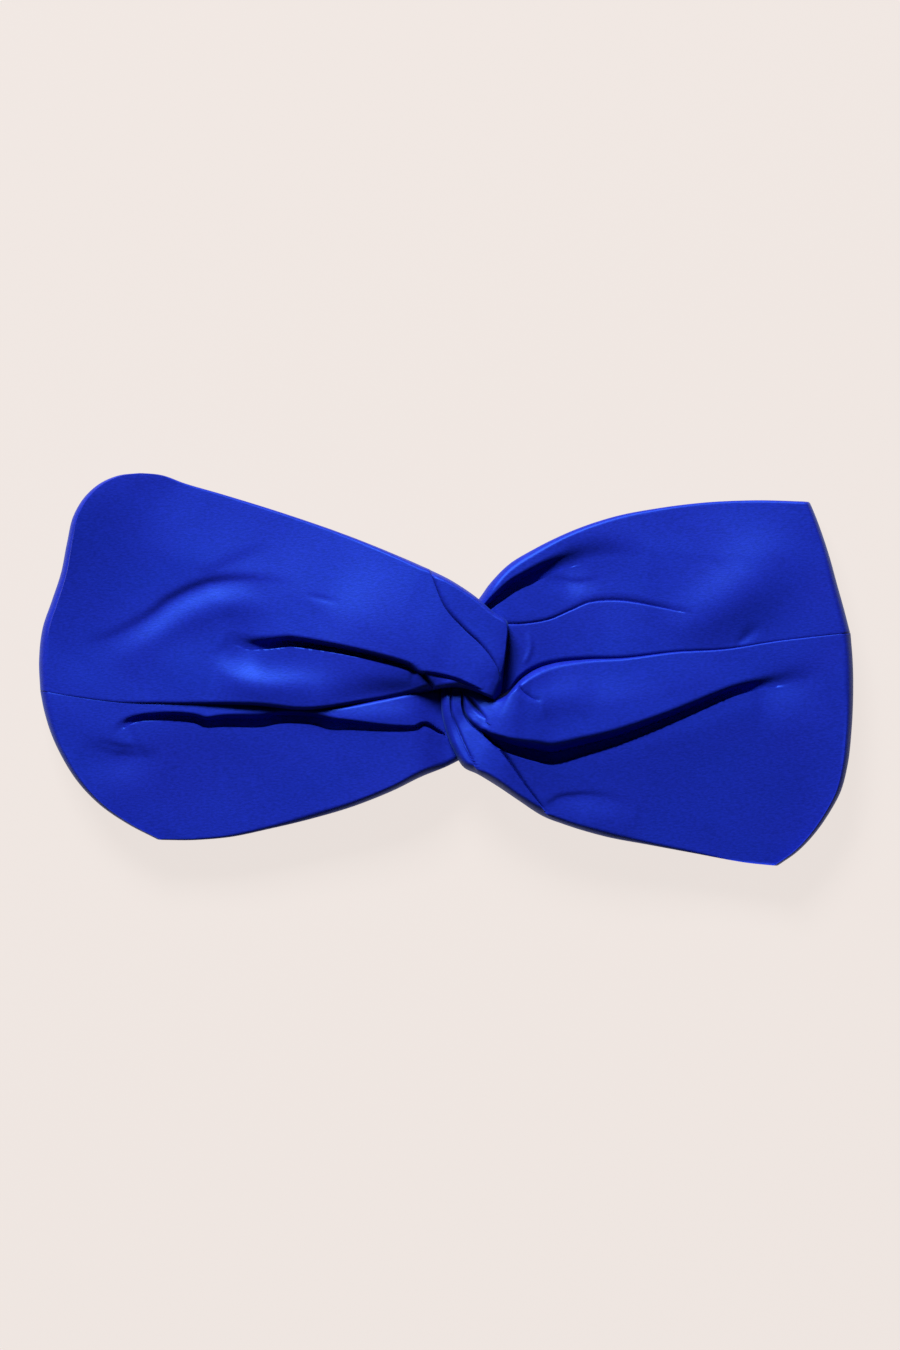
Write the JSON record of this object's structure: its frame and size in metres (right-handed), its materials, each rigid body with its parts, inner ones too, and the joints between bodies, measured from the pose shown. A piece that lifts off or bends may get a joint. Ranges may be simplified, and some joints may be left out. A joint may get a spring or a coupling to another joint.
{
  "type": "knotted headband",
  "caption": "Wide padded silk headband with a hooked twist at the front and an elasticated back, lying flat.",
  "frame": {"origin": "on the table under the middle of the flattened band's box", "axes": "+X along the band from its left side fold to its right one, +Y up the front, +Z away from the table"},
  "size_m": [0.25, 0.1204, 0.0301],
  "materials": {
    "silk": "royal blue silk twill, soft sheen",
    "wadding": "off-white needled polyester wadding",
    "thread": "royal blue polyester sewing thread",
    "elastic": "white woven elastic",
    "label": "blank white woven satin label"
  },
  "bodies": {
    "left_half": {"left_band_silk": "silk", "left_upper_wadding": "wadding", "left_lower_wadding": "wadding", "left_centre_seam_thread": "thread", "left_casing_stitches": "thread", "left_elastic_bartack": "thread", "elastic_casing": "silk", "elastic_band": "elastic", "care_label": "label"},
    "right_half": {"right_band_silk": "silk", "right_upper_wadding": "wadding", "right_lower_wadding": "wadding", "right_centre_seam_thread": "thread", "right_casing_stitches": "thread", "right_elastic_bartack": "thread"}
  },
  "joints": [
    {"name": "twist_stretch", "type": "slide", "parent": "left_half", "child": "right_half", "axis": [1, 0, 0], "range_m": [0, 0.009], "stiffness_N_per_m": 40, "deforming": ["elastic_casing", "elastic_band"]}
  ]
}
